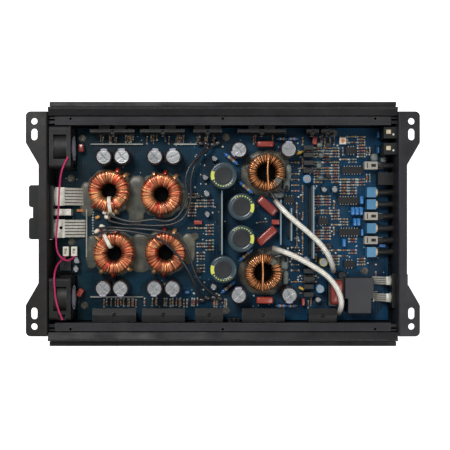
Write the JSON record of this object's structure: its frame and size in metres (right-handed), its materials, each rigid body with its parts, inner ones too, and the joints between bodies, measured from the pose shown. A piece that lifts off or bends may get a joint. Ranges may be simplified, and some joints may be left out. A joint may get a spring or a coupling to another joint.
{
  "type": "car amplifier",
  "caption": "Car audio amplifier in a finned extruded tray, bottom cover off: bent end plates with slotted feet, toroids, capacitors, fans, terminals, level controls and phono jacks.",
  "frame": {"origin": "centre of the rectangle that the object covers, on the tips of the cooling fins", "axes": "+X along the extrusion towards the signal and speaker end, +Z out of the tray's open side, through which the feet's mounting plane faces"},
  "size_m": [0.3662, 0.23, 0.058],
  "materials": {
    "anodised_extrusion": "black anodised, fine lengthwise die lines",
    "black_steel": "black powder coat, fine texture",
    "black_screw": "black oxide",
    "solder_mask": "blue solder mask over copper tracks",
    "brass_post": "turned brass",
    "bright_screw": "bright zinc plate",
    "bar_black": "black anodised",
    "moulded_black": "moulded epoxy",
    "tinned_metal": "tinned copper",
    "terminal_black": "moulded nylon",
    "fan_black": "glass-filled black plastic",
    "winding_copper": "enamelled copper wire",
    "white_nylon": "natural nylon",
    "core_grey": "powder core, coated",
    "adhesive_grey": "cured neutral silicone",
    "can_aluminium": "drawn aluminium",
    "sleeve_slate": "shrunk vinyl sleeve",
    "sleeve_blue": "shrunk vinyl sleeve",
    "dipped_red": "dipped epoxy",
    "resistor_blue": "painted ceramic body",
    "relay_grey": "moulded polyester",
    "module_laminate": "dark laminate, pale edges",
    "pot_blue": "moulded blue plastic",
    "switch_grey": "moulded warm grey",
    "lead_red": "vinyl insulation",
    "wire_black": "vinyl insulation",
    "knob_black": "moulded black plastic",
    "cable_sleeve": "braided off-white sleeve"
  },
  "bodies": {
    "amplifier": {"heatsink": "anodised_extrusion", "left_end_plate": "black_steel", "right_end_plate": "black_steel", "end_plate_screws": "black_screw", "circuit_board": "solder_mask", "board_standoffs": "brass_post", "board_screws": "bright_screw", "clamp_bars": "bar_black", "clamp_bar_screws": "black_screw", "power_transistors": "moulded_black", "transistor_leads": "tinned_metal", "power_terminal_block": "terminal_black", "power_terminal_lugs": "tinned_metal", "terminal_screws": "bright_screw", "speaker_terminal_block": "terminal_black", "speaker_terminal_lugs": "tinned_metal", "fan_frame_upper": "fan_black", "fan_frame_lower": "fan_black", "fan_stators": "winding_copper", "fan_screws": "black_screw", "fan_plugs": "white_nylon", "toroid_cores": "core_grey", "transformer_windings": "winding_copper", "inductor_windings": "winding_copper", "cable_ties": "white_nylon", "adhesive_beds": "adhesive_grey", "main_capacitor_cans": "can_aluminium", "main_capacitor_sleeves": "sleeve_slate", "filter_capacitors": "can_aluminium", "signal_capacitors": "sleeve_blue", "film_capacitors": "dipped_red", "power_resistors": "resistor_blue", "relay_base": "moulded_black", "relay_cover": "relay_grey", "chips": "moulded_black", "module_boards": "module_laminate", "board_headers": "moulded_black", "bus_bars": "tinned_metal", "pot_bodies": "pot_blue", "switch_bodies": "switch_grey", "phono_jack_bodies": "moulded_black", "phono_jack_shells": "tinned_metal", "remote_level_socket": "moulded_black", "fan_lead_upper": "lead_red", "fan_lead_lower": "lead_red", "power_wire_1": "wire_black", "power_wire_2": "wire_black", "power_wire_3": "wire_black", "power_wire_4": "wire_black", "output_cable_1": "cable_sleeve", "output_cable_2": "cable_sleeve"},
    "fan_upper": {"fan_rotor_upper": "fan_black"},
    "fan_lower": {"fan_rotor_lower": "fan_black"},
    "pot_1": {"pot_shaft_1": "knob_black"},
    "pot_2": {"pot_shaft_2": "knob_black"},
    "pot_3": {"pot_shaft_3": "knob_black"},
    "pot_4": {"pot_shaft_4": "knob_black"},
    "switch_1": {"switch_plunger_1": "knob_black"},
    "switch_2": {"switch_plunger_2": "knob_black"},
    "switch_3": {"switch_plunger_3": "knob_black"}
  },
  "joints": [
    {"name": "fan_spin_upper", "type": "hinge", "parent": "amplifier", "child": "fan_upper", "pos_m": [-0.154, 0.072, 0.0353], "axis": [1, 0, 0], "continuous": true},
    {"name": "fan_spin_lower", "type": "hinge", "parent": "amplifier", "child": "fan_lower", "pos_m": [-0.154, -0.07, 0.0353], "axis": [1, 0, 0], "continuous": true},
    {"name": "pot_turn_1", "type": "hinge", "parent": "amplifier", "child": "pot_1", "pos_m": [0.157, 0.0303, 0.029], "axis": [1, 0, 0], "range_deg": [-140, 140]},
    {"name": "pot_turn_2", "type": "hinge", "parent": "amplifier", "child": "pot_2", "pos_m": [0.157, 0.0188, 0.029], "axis": [1, 0, 0], "range_deg": [-140, 140]},
    {"name": "pot_turn_3", "type": "hinge", "parent": "amplifier", "child": "pot_3", "pos_m": [0.157, -0.0041, 0.029], "axis": [1, 0, 0], "range_deg": [-140, 140]},
    {"name": "pot_turn_4", "type": "hinge", "parent": "amplifier", "child": "pot_4", "pos_m": [0.157, -0.0269, 0.029], "axis": [1, 0, 0], "range_deg": [-140, 140]},
    {"name": "switch_press_1", "type": "slide", "parent": "amplifier", "child": "switch_1", "axis": [1, 0, 0], "range_m": [-0.0025, 0], "stiffness_N_per_m": 300, "springref_m": 0.003},
    {"name": "switch_press_2", "type": "slide", "parent": "amplifier", "child": "switch_2", "axis": [1, 0, 0], "range_m": [-0.0025, 0], "stiffness_N_per_m": 300, "springref_m": 0.003},
    {"name": "switch_press_3", "type": "slide", "parent": "amplifier", "child": "switch_3", "axis": [1, 0, 0], "range_m": [-0.0025, 0], "stiffness_N_per_m": 300, "springref_m": 0.003}
  ]
}
